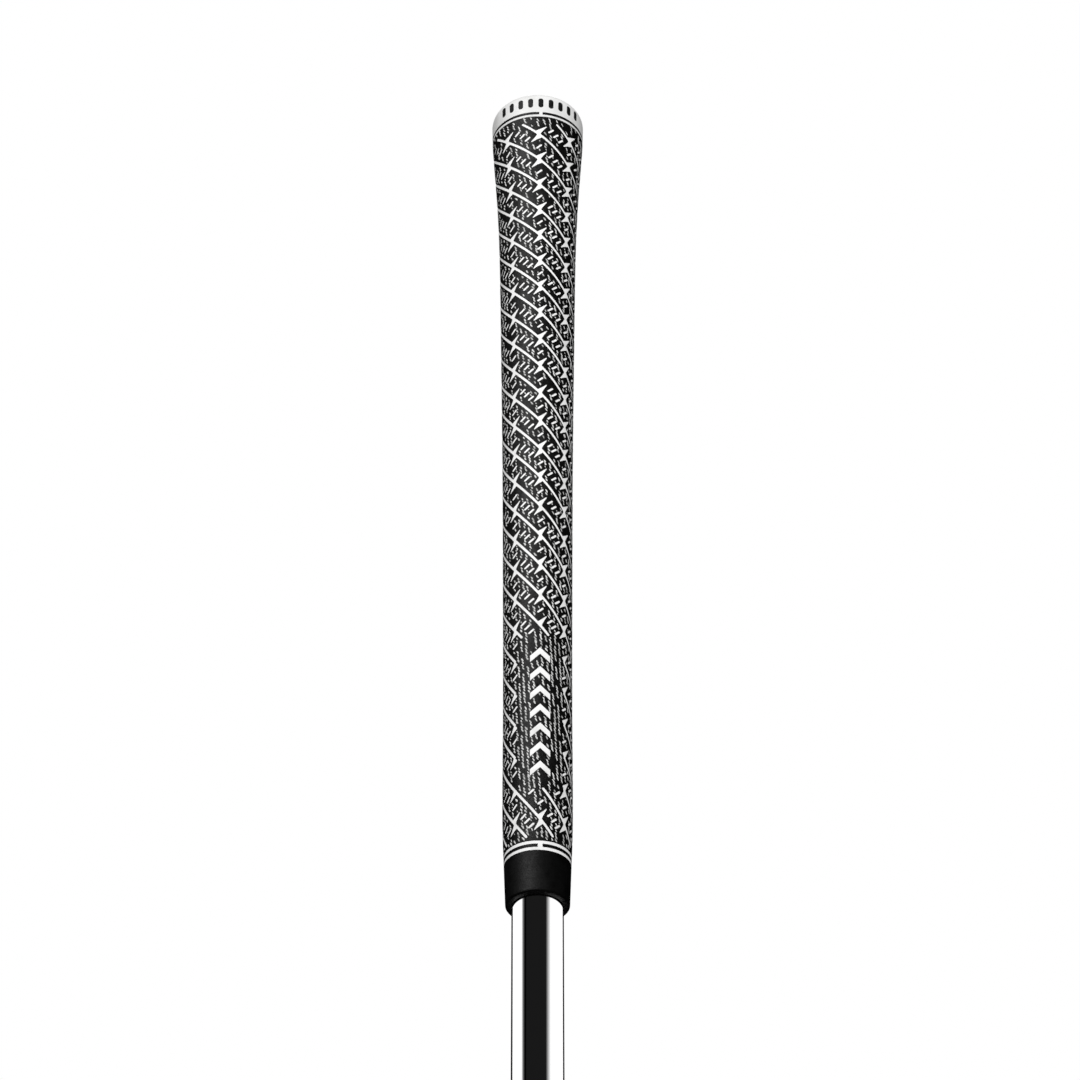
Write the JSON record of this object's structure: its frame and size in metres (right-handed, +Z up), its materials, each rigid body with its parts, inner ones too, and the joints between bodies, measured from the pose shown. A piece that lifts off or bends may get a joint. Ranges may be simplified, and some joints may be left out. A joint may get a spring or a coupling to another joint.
{
  "type": "golf grip",
  "caption": "Tapered corded-rubber golf club grip with a white vented butt cap, ringed mouth and a stub of stepped chrome shaft.",
  "frame": {"origin": "centre of the shaft stub's cut lower end", "axes": "+Z up the shaft towards the butt cap, -Y the front with the alignment marks, +X to the right seen from the front"},
  "size_m": [0.0268, 0.0268, 0.3415],
  "materials": {
    "shaft_chrome": "mirror-polished plating",
    "tape_paper": "creped double-sided paper tape",
    "black_rubber": "satin moulded",
    "corded_rubber": "buffed, with cotton yarns showing",
    "white_rubber": "satin moulded",
    "white_paint": "flat filled paint",
    "black_paint": "flat filled paint"
  },
  "bodies": {
    "root": {"shaft_tube": "shaft_chrome", "mounting_tape": "tape_paper", "tape_fold": "tape_paper", "under_layer": "black_rubber", "front_cover": "corded_rubber", "back_cover": "corded_rubber", "mouth_collar": "black_rubber", "butt_cap": "white_rubber", "lip_ring_lower": "white_paint", "lip_ring_upper": "white_paint", "lip_alignment_mark": "white_paint", "cap_ring": "black_paint", "front_chevron_1": "white_paint", "front_chevron_2": "white_paint", "front_chevron_3": "white_paint", "front_chevron_4": "white_paint", "front_chevron_5": "white_paint", "front_chevron_6": "white_paint", "front_chevron_7": "white_paint", "cap_bar_1": "black_paint", "cap_bar_2": "black_paint", "cap_bar_3": "black_paint", "cap_bar_4": "black_paint", "cap_bar_5": "black_paint", "cap_bar_6": "black_paint", "cap_bar_7": "black_paint", "cap_bar_8": "black_paint", "cap_bar_9": "black_paint"}
  },
  "joints": []
}
